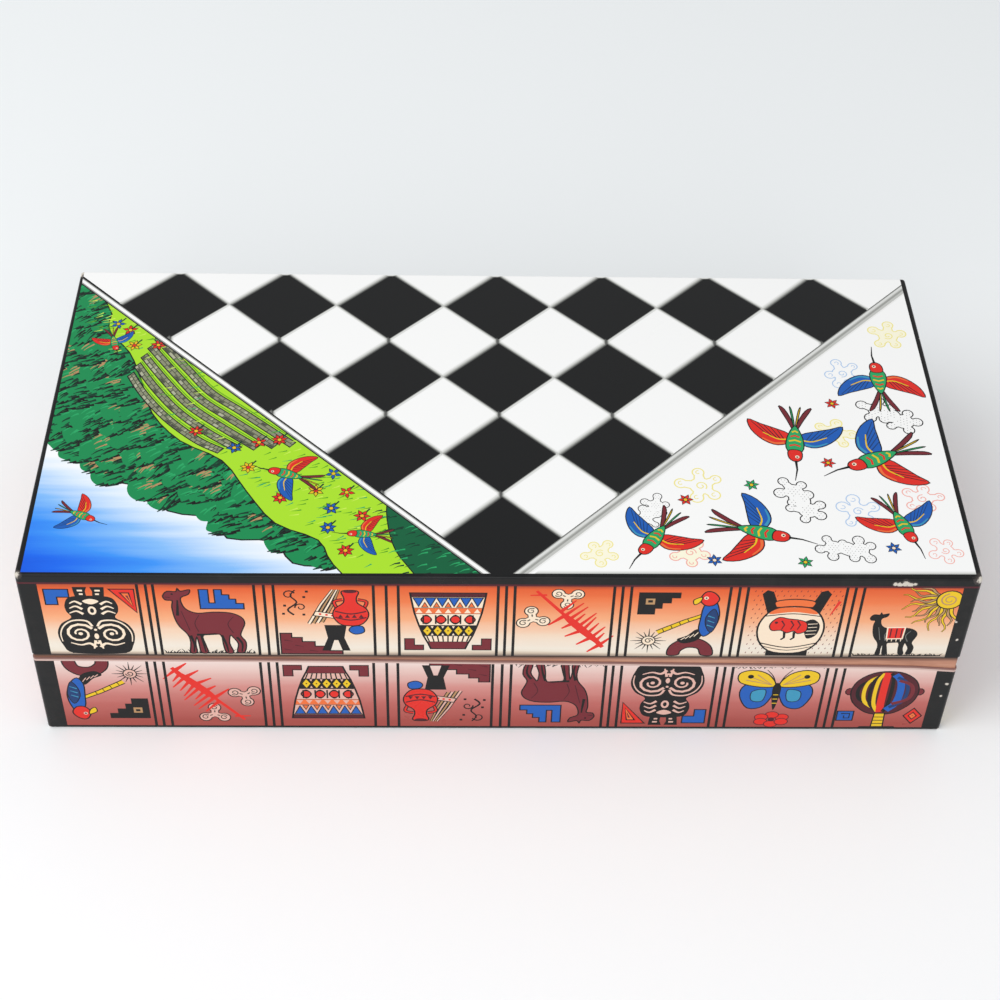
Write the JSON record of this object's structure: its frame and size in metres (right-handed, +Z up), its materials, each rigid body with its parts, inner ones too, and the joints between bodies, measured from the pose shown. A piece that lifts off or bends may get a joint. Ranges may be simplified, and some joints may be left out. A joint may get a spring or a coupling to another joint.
{
  "type": "folding chess board case",
  "caption": "Folding case of two equal shallow trays hinged along one long edge; the outer faces open flat into a diagonal black and white chess board with picture corners.",
  "frame": {"origin": "centre of the base tray's underside, on the surface that the closed case stands on", "axes": "+X along the fold, +Y from the front towards the hinges, +Z up through the lid"},
  "size_m": [0.32, 0.1619, 0.08],
  "materials": {
    "wood": "plain planed softwood rails, satin",
    "plywood": "thin plywood board",
    "felt": "matt pressed felt",
    "black_print": "glossy laminated printed paper, black",
    "white_print": "glossy laminated printed paper, white",
    "landscape_print": "glossy laminated print, mostly green with some blue",
    "ornament_print": "glossy laminated print, small coloured ornaments on white",
    "strip_print": "glossy laminated print, orange to cream and rose",
    "brass": "polished brass"
  },
  "bodies": {
    "base": {"base_panel": "plywood", "base_front_wall": "wood", "base_back_wall": "wood", "base_left_wall": "wood", "base_right_wall": "wood", "base_felt_lining": "felt", "base_outer_sheet": "black_print", "base_light_squares": "white_print", "base_dark_squares": "black_print", "base_border_strips": "white_print", "base_landscape_picture": "landscape_print", "base_ornament_picture": "ornament_print", "base_picture_strip": "strip_print", "base_strip_rules": "black_print", "base_back_paper": "black_print", "base_hinge_screws": "brass", "left_hinge_base_leaf": "brass", "left_hinge_pin": "brass", "right_hinge_base_leaf": "brass", "right_hinge_pin": "brass"},
    "lid": {"lid_panel": "plywood", "lid_front_wall": "wood", "lid_back_wall": "wood", "lid_left_wall": "wood", "lid_right_wall": "wood", "lid_felt_lining": "felt", "lid_outer_sheet": "black_print", "lid_light_squares": "white_print", "lid_dark_squares": "black_print", "lid_border_strips": "white_print", "lid_landscape_picture": "landscape_print", "lid_ornament_picture": "ornament_print", "lid_picture_strip": "strip_print", "lid_strip_rules": "black_print", "lid_back_paper": "black_print", "lid_hinge_screws": "brass", "left_hinge_lid_leaf": "brass", "right_hinge_lid_leaf": "brass"}
  },
  "joints": [
    {"name": "lid_hinge", "type": "hinge", "parent": "base", "child": "lid", "pos_m": [0, 0.08025, 0.04], "axis": [-1, 0, 0], "range_deg": [0, 180]}
  ]
}
